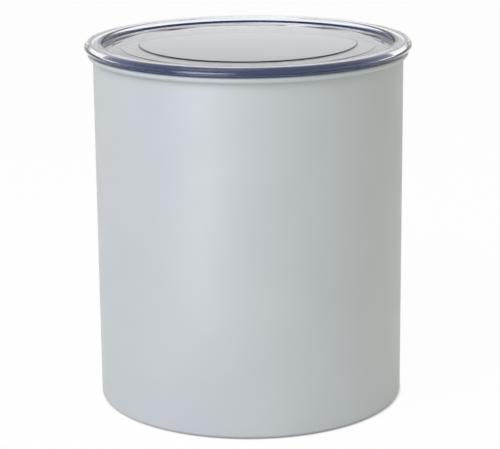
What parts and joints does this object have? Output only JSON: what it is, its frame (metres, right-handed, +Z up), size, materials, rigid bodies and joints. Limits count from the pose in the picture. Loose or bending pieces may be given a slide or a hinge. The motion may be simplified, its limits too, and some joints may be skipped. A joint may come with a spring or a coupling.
{
  "type": "coffee canister with valve",
  "caption": "Round steel coffee canister with a clear outer lid and an inner plunger lid, whose folding handle opens a vent valve.",
  "frame": {"origin": "middle of the base, on the surface that the canister stands on", "axes": "+Z up the canister's axis; the handle's shaft lies along X and the handle folds flat towards -Y"},
  "size_m": [0.1778, 0.1778, 0.1992],
  "materials": {
    "coated_steel": "matte powder coat",
    "clear_plastic": "clear gloss",
    "navy_silicone": "satin silicone",
    "dish_plastic": "satin moulded",
    "housing_plastic": "satin moulded",
    "cam_plastic": "smooth acetal",
    "handle_plastic": "satin moulded",
    "grip_rubber": "soft matte",
    "black_rubber": "matte",
    "shaft_steel": "ground",
    "screw_steel": "bright"
  },
  "bodies": {
    "canister": {"canister_shell": "coated_steel"},
    "outer_lid": {"lid_shell": "clear_plastic", "lid_gasket": "navy_silicone"},
    "inner_lid": {"plunger_dish": "dish_plastic", "wiper_gasket": "navy_silicone", "gasket_clamp_ring": "dish_plastic", "clamp_screws": "screw_steel", "valve_housing": "housing_plastic", "housing_screws": "screw_steel", "valve_spring": "shaft_steel", "bearing_block_left": "housing_plastic", "bearing_block_right": "housing_plastic", "bearing_screws": "screw_steel", "relief_valve": "navy_silicone", "grounds_screen": "shaft_steel", "screen_retainer": "dish_plastic", "screen_screws": "screw_steel"},
    "valve_stem": {"poppet": "shaft_steel", "poppet_seal": "black_rubber", "stem_yoke": "housing_plastic"},
    "handle": {"handle_bail": "handle_plastic", "handle_grip": "grip_rubber", "cam_shaft": "shaft_steel", "valve_cam": "cam_plastic", "cross_pins": "shaft_steel"}
  },
  "joints": [
    {"name": "outer_lid_lift", "type": "slide", "parent": "canister", "child": "outer_lid", "axis": [0, 0, 1], "range_m": [0, 0.06]},
    {"name": "inner_lid_travel", "type": "slide", "parent": "canister", "child": "inner_lid", "axis": [0, 0, 1], "range_m": [-0.095, 0]},
    {"name": "handle_fold", "type": "hinge", "parent": "inner_lid", "child": "handle", "pos_m": [0, 0, 0.13355], "axis": [-1, 0, 0], "range_deg": [0, 90]},
    {"name": "valve_lift", "type": "slide", "parent": "inner_lid", "child": "valve_stem", "axis": [0, 0, 1], "range_m": [0, 0.0025], "deforming": ["valve_spring"]}
  ],
  "couplings": [
    {"joint": "valve_lift", "follows": "handle_fold", "m_per_rad": 0.00159}
  ]
}
